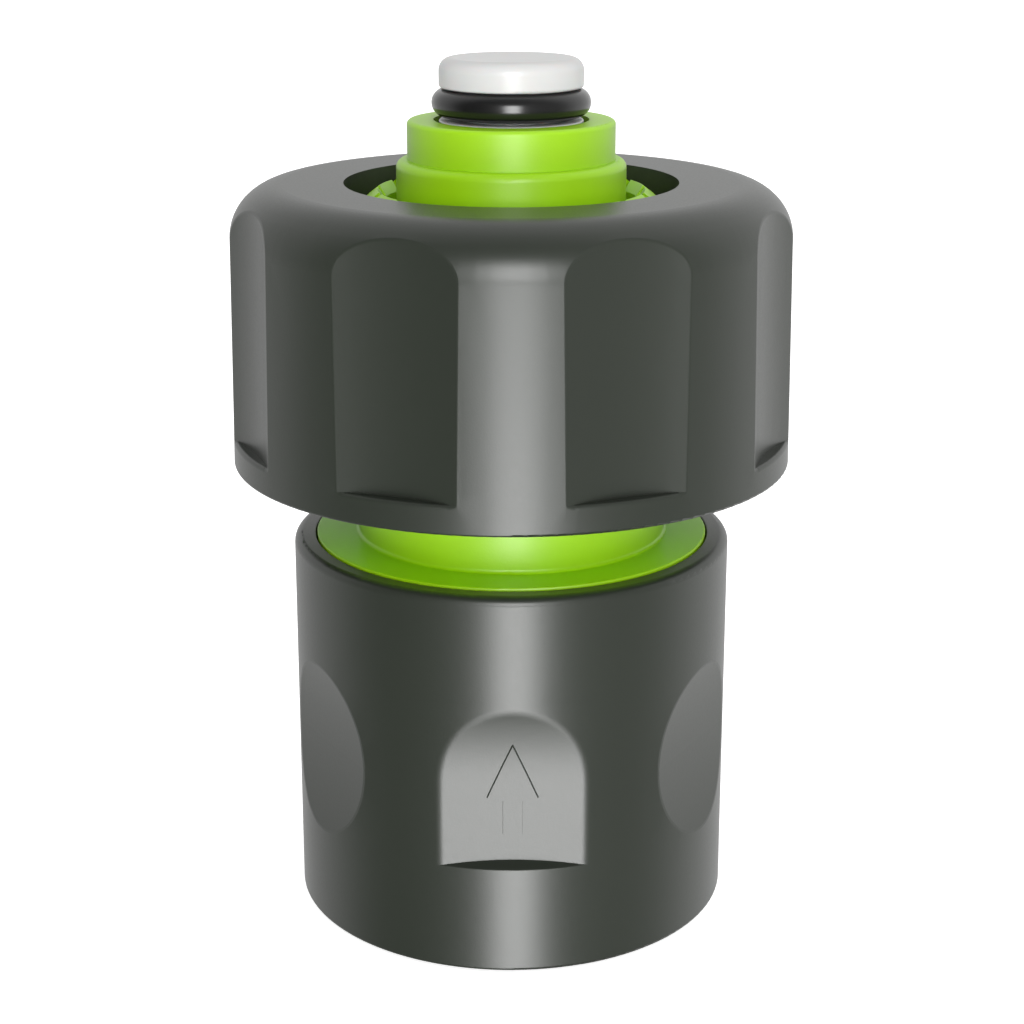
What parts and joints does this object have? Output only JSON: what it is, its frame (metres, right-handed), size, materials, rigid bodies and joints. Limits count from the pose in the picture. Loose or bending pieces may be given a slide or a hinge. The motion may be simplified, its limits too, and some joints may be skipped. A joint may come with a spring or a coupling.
{
  "type": "garden hose quick connector",
  "caption": "Click-on garden hose connector with a clamping nut, a sliding release sleeve and a water-stop valve in its hose tail.",
  "frame": {"origin": "centre of the foot ring's flat face, on the surface that the connector stands on", "axes": "+Z along the connector's axis from the click socket towards the hose; -Y is the front, with the arrow pad"},
  "size_m": [0.0444, 0.0444, 0.0687],
  "materials": {
    "green_plastic": "moulded ABS, satin",
    "grey_plastic": "moulded ABS, fine satin grain",
    "valve_plastic": "moulded acetal, smooth",
    "seal_rubber": "moulded nitrile rubber",
    "spring_steel": "drawn stainless spring wire"
  },
  "bodies": {
    "core": {"core_body": "green_plastic", "mouth_ring": "green_plastic", "return_spring": "spring_steel"},
    "sleeve": {"release_sleeve": "grey_plastic"},
    "collet": {"clamp_collet": "green_plastic"},
    "nut": {"hose_nut": "grey_plastic"},
    "valve": {"valve_plunger": "valve_plastic", "valve_o_ring": "seal_rubber"},
    "claw_1": {"locking_claw_1": "valve_plastic"},
    "claw_2": {"locking_claw_2": "valve_plastic"},
    "claw_3": {"locking_claw_3": "valve_plastic"},
    "claw_4": {"locking_claw_4": "valve_plastic"}
  },
  "joints": [
    {"name": "sleeve_slide", "type": "slide", "parent": "core", "child": "sleeve", "axis": [0, 0, 1], "range_m": [0, 0.004], "stiffness_N_per_m": 2000, "springref_m": -0.004, "deforming": ["return_spring"]},
    {"name": "collet_lift", "type": "slide", "parent": "core", "child": "collet", "axis": [0, 0, 1], "range_m": [0, 0.006]},
    {"name": "nut_turn", "type": "hinge", "parent": "collet", "child": "nut", "pos_m": [0, 0, 0.0482], "axis": [0, 0, 1], "range_deg": [0, 720]},
    {"name": "valve_slide", "type": "slide", "parent": "core", "child": "valve", "axis": [0, 0, 1], "range_m": [-0.0007, 0.0035]},
    {"name": "claw_1_slide", "type": "slide", "parent": "core", "child": "claw_1", "axis": [0.7071, -0.7071, 0], "range_m": [0, 0.0015]},
    {"name": "claw_2_slide", "type": "slide", "parent": "core", "child": "claw_2", "axis": [0.7071, 0.7071, 0], "range_m": [0, 0.0015]},
    {"name": "claw_3_slide", "type": "slide", "parent": "core", "child": "claw_3", "axis": [-0.7071, 0.7071, 0], "range_m": [0, 0.0015]},
    {"name": "claw_4_slide", "type": "slide", "parent": "core", "child": "claw_4", "axis": [-0.7071, -0.7071, 0], "range_m": [0, 0.0015]}
  ],
  "couplings": [
    {"joint": "collet_lift", "follows": "nut_turn", "m_per_rad": 0.00047746},
    {"joint": "claw_1_slide", "follows": "sleeve_slide", "ratio": 0.375},
    {"joint": "claw_2_slide", "follows": "sleeve_slide", "ratio": 0.375},
    {"joint": "claw_3_slide", "follows": "sleeve_slide", "ratio": 0.375},
    {"joint": "claw_4_slide", "follows": "sleeve_slide", "ratio": 0.375}
  ]
}
